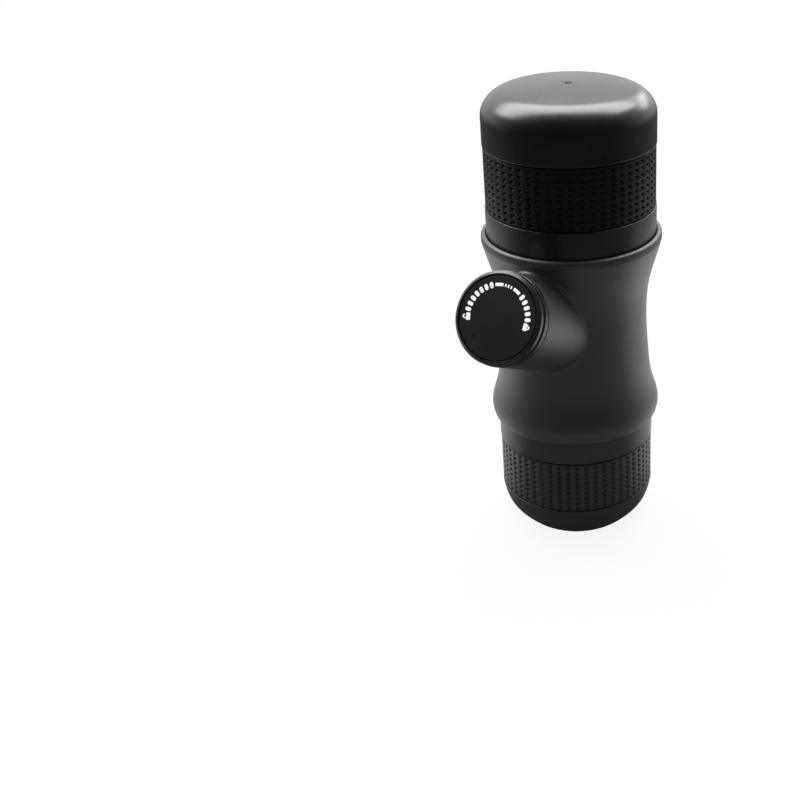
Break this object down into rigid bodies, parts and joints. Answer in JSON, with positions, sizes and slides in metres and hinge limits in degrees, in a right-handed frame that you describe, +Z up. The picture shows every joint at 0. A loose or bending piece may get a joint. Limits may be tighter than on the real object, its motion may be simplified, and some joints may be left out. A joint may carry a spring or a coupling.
{
  "type": "handheld manual espresso maker",
  "caption": "Handheld manual espresso maker: screw-on water tank, waisted body with a slanted pump knob, outlet head and a push-on cup that it stands on.",
  "frame": {"origin": "centre of the flat foot of the cup, which the maker stands on", "axes": "+Z up along the main axis, through the cup, body and tank; -Y towards the side that the pump knob is on"},
  "size_m": [0.0666, 0.0977, 0.175],
  "materials": {
    "body_plastic": "dark grey, satin, finely textured moulding",
    "core_plastic": "black, plain moulding",
    "guide_plastic": "natural white, smooth bearing plastic",
    "tank_plastic": "near-black, satin, finely textured moulding",
    "head_plastic": "near-black, satin moulding",
    "cup_plastic": "black, satin outside and glossy inside",
    "knob_plastic": "black, polished edge",
    "face_plastic": "black, matt disc with a white print",
    "grip_rubber": "black, dimpled soft grip",
    "silicone": "grey silicone rubber",
    "steel": "stainless steel"
  },
  "bodies": {
    "body": {"body_shell": "body_plastic", "tank_socket": "core_plastic", "pump_core": "core_plastic", "brew_flange": "core_plastic", "core_screws": "steel", "pump_barrel": "core_plastic", "cylinder_liner": "steel", "barrel_screws": "steel", "rod_guide": "guide_plastic", "lock_ring": "knob_plastic", "water_filter": "steel", "inlet_valve": "silicone", "outlet_valve": "silicone", "vent_valve": "silicone", "shower_screen": "steel", "cup_seal": "silicone", "return_spring": "steel"},
    "tank_gasket": {"tank_gasket": "silicone"},
    "tank": {"water_tank": "tank_plastic", "tank_mouth": "tank_plastic", "tank_grip": "grip_rubber"},
    "brew_gasket": {"brew_gasket": "silicone"},
    "outlet": {"outlet_head": "head_plastic", "outlet_funnel": "head_plastic", "spout_nozzle": "head_plastic", "filter_basket": "steel"},
    "cup": {"cup_body": "cup_plastic", "cup_grip": "grip_rubber"},
    "piston": {"piston_rod": "guide_plastic", "piston_seals": "silicone"},
    "knob": {"knob_cap": "knob_plastic", "knob_face": "face_plastic", "knob_screw": "steel"}
  },
  "joints": [
    {"name": "tank_lift", "type": "slide", "parent": "body", "child": "tank_gasket", "axis": [0, 0, 1], "range_m": [0, 0.01501]},
    {"name": "tank_turn", "type": "hinge", "parent": "tank_gasket", "child": "tank", "pos_m": [0, 0, 0.1095], "axis": [0, 0, 1], "range_deg": [0, 900]},
    {"name": "outlet_drop", "type": "slide", "parent": "body", "child": "brew_gasket", "axis": [0, 0, -1], "range_m": [0, 0.00701]},
    {"name": "outlet_turn", "type": "hinge", "parent": "brew_gasket", "child": "outlet", "pos_m": [0, 0, 0.0566], "axis": [0, 0, -1], "range_deg": [0, 420]},
    {"name": "cup_pull", "type": "slide", "parent": "body", "child": "cup", "axis": [0, 0, -1], "range_m": [0, 0.06]},
    {"name": "pump_stroke", "type": "slide", "parent": "body", "child": "piston", "axis": [0, -0.8829, 0.4695], "range_m": [0, 0.013], "deforming": ["return_spring"]},
    {"name": "knob_turn", "type": "hinge", "parent": "piston", "child": "knob", "pos_m": [0, 0, 0.0785], "axis": [0, -0.8829, 0.4695], "range_deg": [0, 60]}
  ],
  "couplings": [
    {"joint": "tank_lift", "follows": "tank_turn", "m_per_rad": 0.00095493},
    {"joint": "outlet_drop", "follows": "outlet_turn", "m_per_rad": 0.00095493}
  ]
}
